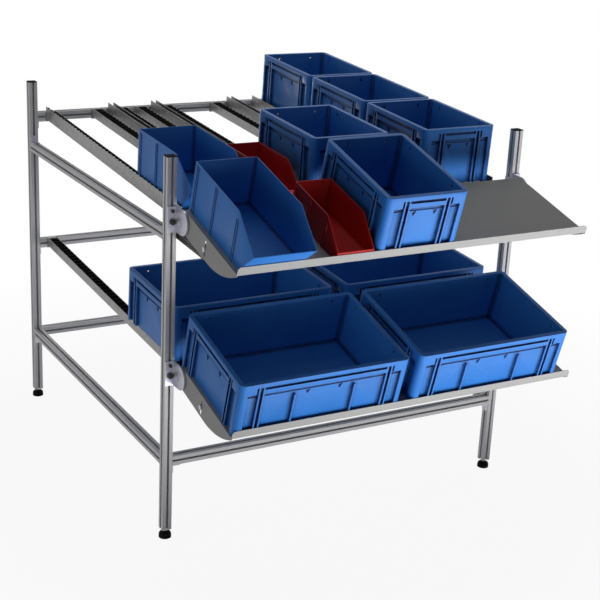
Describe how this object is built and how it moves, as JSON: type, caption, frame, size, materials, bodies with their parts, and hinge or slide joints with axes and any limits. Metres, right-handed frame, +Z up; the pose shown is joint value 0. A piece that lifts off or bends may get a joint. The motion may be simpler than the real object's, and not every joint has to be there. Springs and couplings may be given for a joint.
{
  "type": "picking rack",
  "caption": "Gravity-flow picking rack: slotted-profile frame on levelling feet, inclined roller tracks, tilting pick trays, stacking crates and open-front bins",
  "frame": {"origin": "on the floor, under the middle of the whole outline with its bins", "axes": "+Z up, +Y from the picker to the loading side, +X to the picker's right"},
  "size_m": [1.44, 1.927, 1.4686],
  "materials": {
    "anodised_profile": "clear anodised extrusion",
    "bright_zinc": "bright zinc plate",
    "black_steel": "black oxide",
    "galvanised_sheet": "galvanised sheet",
    "tray_sheet": "grey sheet, satin",
    "black_plastic": "black moulded",
    "foot_rubber": "matt black",
    "crate_blue": "moulded, fine grain",
    "bin_blue": "moulded, fine grain",
    "bin_red": "moulded, fine grain"
  },
  "bodies": {
    "frame": {"post_front_left": "anodised_profile", "post_front_right": "anodised_profile", "post_rear_left": "anodised_profile", "post_rear_right": "anodised_profile", "post_caps": "black_plastic", "bottom_rail_front": "anodised_profile", "bottom_rail_rear": "anodised_profile", "bottom_rail_left": "anodised_profile", "bottom_rail_right": "anodised_profile", "lower_rail_front": "anodised_profile", "lower_rail_rear": "anodised_profile", "upper_rail_front": "anodised_profile", "upper_rail_rear": "anodised_profile", "side_rail_left": "anodised_profile", "side_rail_right": "anodised_profile", "corner_brackets": "bright_zinc", "foot_lock_nuts": "bright_zinc", "upper_track_1": "galvanised_sheet", "upper_track_2": "galvanised_sheet", "upper_track_3": "galvanised_sheet", "upper_track_4": "galvanised_sheet", "upper_track_5": "galvanised_sheet", "upper_track_6": "galvanised_sheet", "upper_track_7": "galvanised_sheet", "upper_track_8": "galvanised_sheet", "lower_track_1": "galvanised_sheet", "lower_track_2": "galvanised_sheet", "lower_track_3": "galvanised_sheet", "lower_track_4": "galvanised_sheet", "upper_rollers": "black_plastic", "lower_rollers": "black_plastic", "track_holders": "galvanised_sheet", "lane_divider_1": "galvanised_sheet", "lane_divider_2": "galvanised_sheet", "lane_divider_3": "galvanised_sheet", "pivot_brackets": "bright_zinc", "pivot_bolts": "bright_zinc", "pivot_washers": "bright_zinc", "bracket_screws": "black_steel", "tray_arms": "bright_zinc", "clamp_bolts": "bright_zinc"},
    "foot_front_left": {"foot_front_left": "foot_rubber"},
    "foot_front_right": {"foot_front_right": "foot_rubber"},
    "foot_rear_left": {"foot_rear_left": "foot_rubber"},
    "foot_rear_right": {"foot_rear_right": "foot_rubber"},
    "lower_tray": {"lower_tray": "tray_sheet"},
    "upper_tray": {"upper_tray": "tray_sheet"},
    "wide_crate_tray_left": {"wide_crate_tray_left": "crate_blue"},
    "wide_crate_tray_right": {"wide_crate_tray_right": "crate_blue"},
    "tall_crate_tray": {"tall_crate_tray": "crate_blue"},
    "blue_bin_tray": {"blue_bin_tray": "bin_blue"},
    "red_bin_tray": {"red_bin_tray": "bin_red"},
    "wide_crate_track_left": {"wide_crate_track_left": "crate_blue"},
    "wide_crate_track_right": {"wide_crate_track_right": "crate_blue"},
    "tall_crate_middle": {"tall_crate_middle": "crate_blue"},
    "blue_bin_track": {"blue_bin_track": "bin_blue"},
    "red_bin_track": {"red_bin_track": "bin_red"},
    "tall_crate_right_1": {"tall_crate_right_1": "crate_blue"},
    "tall_crate_right_2": {"tall_crate_right_2": "crate_blue"},
    "tall_crate_right_3": {"tall_crate_right_3": "crate_blue"}
  },
  "joints": [
    {"name": "foot_front_left_screw", "type": "slide", "parent": "frame", "child": "foot_front_left", "axis": [0, 0, -1], "range_m": [0, 0.015]},
    {"name": "foot_front_right_screw", "type": "slide", "parent": "frame", "child": "foot_front_right", "axis": [0, 0, -1], "range_m": [0, 0.015]},
    {"name": "foot_rear_left_screw", "type": "slide", "parent": "frame", "child": "foot_rear_left", "axis": [0, 0, -1], "range_m": [0, 0.015]},
    {"name": "foot_rear_right_screw", "type": "slide", "parent": "frame", "child": "foot_rear_right", "axis": [0, 0, -1], "range_m": [0, 0.015]},
    {"name": "lower_tray_tilt", "type": "hinge", "parent": "frame", "child": "lower_tray", "pos_m": [0, -0.49351, 0.624], "axis": [1, 0, 0], "range_deg": [-8, 8]},
    {"name": "upper_tray_tilt", "type": "hinge", "parent": "frame", "child": "upper_tray", "pos_m": [0, -0.49351, 1.163], "axis": [1, 0, 0], "range_deg": [-8, 8]},
    {"name": "wide_crate_tray_left_lift", "type": "slide", "parent": "lower_tray", "child": "wide_crate_tray_left", "axis": [0, -0.2588, 0.9659], "range_m": [0, 0.2]},
    {"name": "wide_crate_tray_right_lift", "type": "slide", "parent": "lower_tray", "child": "wide_crate_tray_right", "axis": [0, -0.2588, 0.9659], "range_m": [0, 0.2]},
    {"name": "tall_crate_tray_lift", "type": "slide", "parent": "upper_tray", "child": "tall_crate_tray", "axis": [0, -0.2588, 0.9659], "range_m": [0, 0.2]},
    {"name": "blue_bin_tray_lift", "type": "slide", "parent": "upper_tray", "child": "blue_bin_tray", "axis": [0, -0.2588, 0.9659], "range_m": [0, 0.2]},
    {"name": "red_bin_tray_lift", "type": "slide", "parent": "upper_tray", "child": "red_bin_tray", "axis": [0, -0.2588, 0.9659], "range_m": [0, 0.2]},
    {"name": "wide_crate_track_left_roll", "type": "slide", "parent": "frame", "child": "wide_crate_track_left", "axis": [0, 0.9982, 0.0593], "range_m": [0, 0.85]},
    {"name": "wide_crate_track_right_roll", "type": "slide", "parent": "frame", "child": "wide_crate_track_right", "axis": [0, 0.9982, 0.0593], "range_m": [0, 0.85]},
    {"name": "tall_crate_middle_roll", "type": "slide", "parent": "frame", "child": "tall_crate_middle", "axis": [0, 0.9982, 0.0593], "range_m": [0, 0.85]},
    {"name": "blue_bin_track_roll", "type": "slide", "parent": "frame", "child": "blue_bin_track", "axis": [0, 0.9982, 0.0593], "range_m": [0, 0.85]},
    {"name": "red_bin_track_roll", "type": "slide", "parent": "frame", "child": "red_bin_track", "axis": [0, 0.9982, 0.0593], "range_m": [0, 0.85]},
    {"name": "tall_crate_right_1_roll", "type": "slide", "parent": "frame", "child": "tall_crate_right_1", "axis": [0, 0.9982, 0.0593], "range_m": [0, 0.06]},
    {"name": "tall_crate_right_2_roll", "type": "slide", "parent": "frame", "child": "tall_crate_right_2", "axis": [0, 0.9982, 0.0593], "range_m": [0, 0.06]},
    {"name": "tall_crate_right_3_roll", "type": "slide", "parent": "frame", "child": "tall_crate_right_3", "axis": [0, 0.9982, 0.0593], "range_m": [0, 0.06]}
  ],
  "couplings": [
    {"joint": "tall_crate_right_2_roll", "follows": "tall_crate_right_1_roll", "ratio": 1},
    {"joint": "tall_crate_right_3_roll", "follows": "tall_crate_right_1_roll", "ratio": 1}
  ]
}
